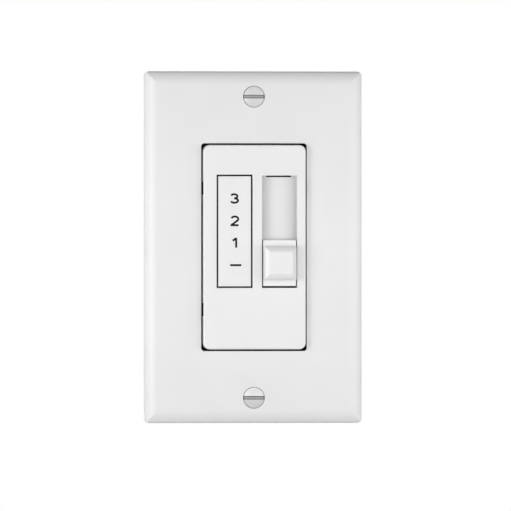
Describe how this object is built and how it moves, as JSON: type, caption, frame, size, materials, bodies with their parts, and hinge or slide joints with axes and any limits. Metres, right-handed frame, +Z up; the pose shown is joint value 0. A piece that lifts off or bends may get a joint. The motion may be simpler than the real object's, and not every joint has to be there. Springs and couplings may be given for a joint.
{
  "type": "fan speed control switch",
  "caption": "Wall control for a ceiling fan: white plate, raised bezel with a printed speed scale and a recessed slider knob, on a steel yoke with a moulded back box and side terminals.",
  "frame": {"origin": "middle of the two box screw holes on the back face of the mounting yoke, in the plane of the wall", "axes": "+Z up the wall, -Y out of the wall towards the user, +Y into the wall box, +X to the user's right"},
  "size_m": [0.0702, 0.0396, 0.113],
  "materials": {
    "plate_white": "satin white moulding",
    "screw_white": "white paint on steel",
    "bezel_white": "satin white moulding",
    "insert_white": "fine matt white moulding with printed marks",
    "knob_white": "satin white moulding",
    "deck_white": "matt white moulding",
    "carriage_black": "black slippery plastic",
    "spring_steel": "rolled spring steel",
    "spring_bronze": "rolled phosphor bronze",
    "zinc_steel": "zinc-plated stamping",
    "ground_green": "green dyed plating",
    "housing_black": "textured black moulding",
    "terminal_brass": "stamped brass",
    "screw_brass": "brass-plated steel",
    "board_brown": "phenolic paper board",
    "track_copper": "copper foil",
    "capacitor_grey": "potted film capacitor",
    "resistor_tan": "lacquered ceramic"
  },
  "bodies": {
    "control": {"wall_plate": "plate_white", "wall_plate_screws": "screw_white", "bezel": "bezel_white", "scale_insert": "insert_white", "slide_deck": "deck_white", "mounting_yoke": "zinc_steel", "ground_screw": "ground_green", "housing": "housing_black", "line_terminal": "terminal_brass", "load_terminal": "terminal_brass", "terminal_screws": "screw_brass", "contact_board": "board_brown", "contact_tracks": "track_copper", "capacitor_large": "capacitor_grey", "capacitor_small": "capacitor_grey", "bleed_resistors": "resistor_tan"},
    "slider": {"slider_knob": "knob_white", "slide_carriage": "carriage_black", "detent_spring": "spring_steel", "wiper_contact": "spring_bronze"}
  },
  "joints": [
    {"name": "knob_slide", "type": "slide", "parent": "control", "child": "slider", "axis": [0, 0, 1], "range_m": [0, 0.02014], "deforming": ["detent_spring"]}
  ]
}
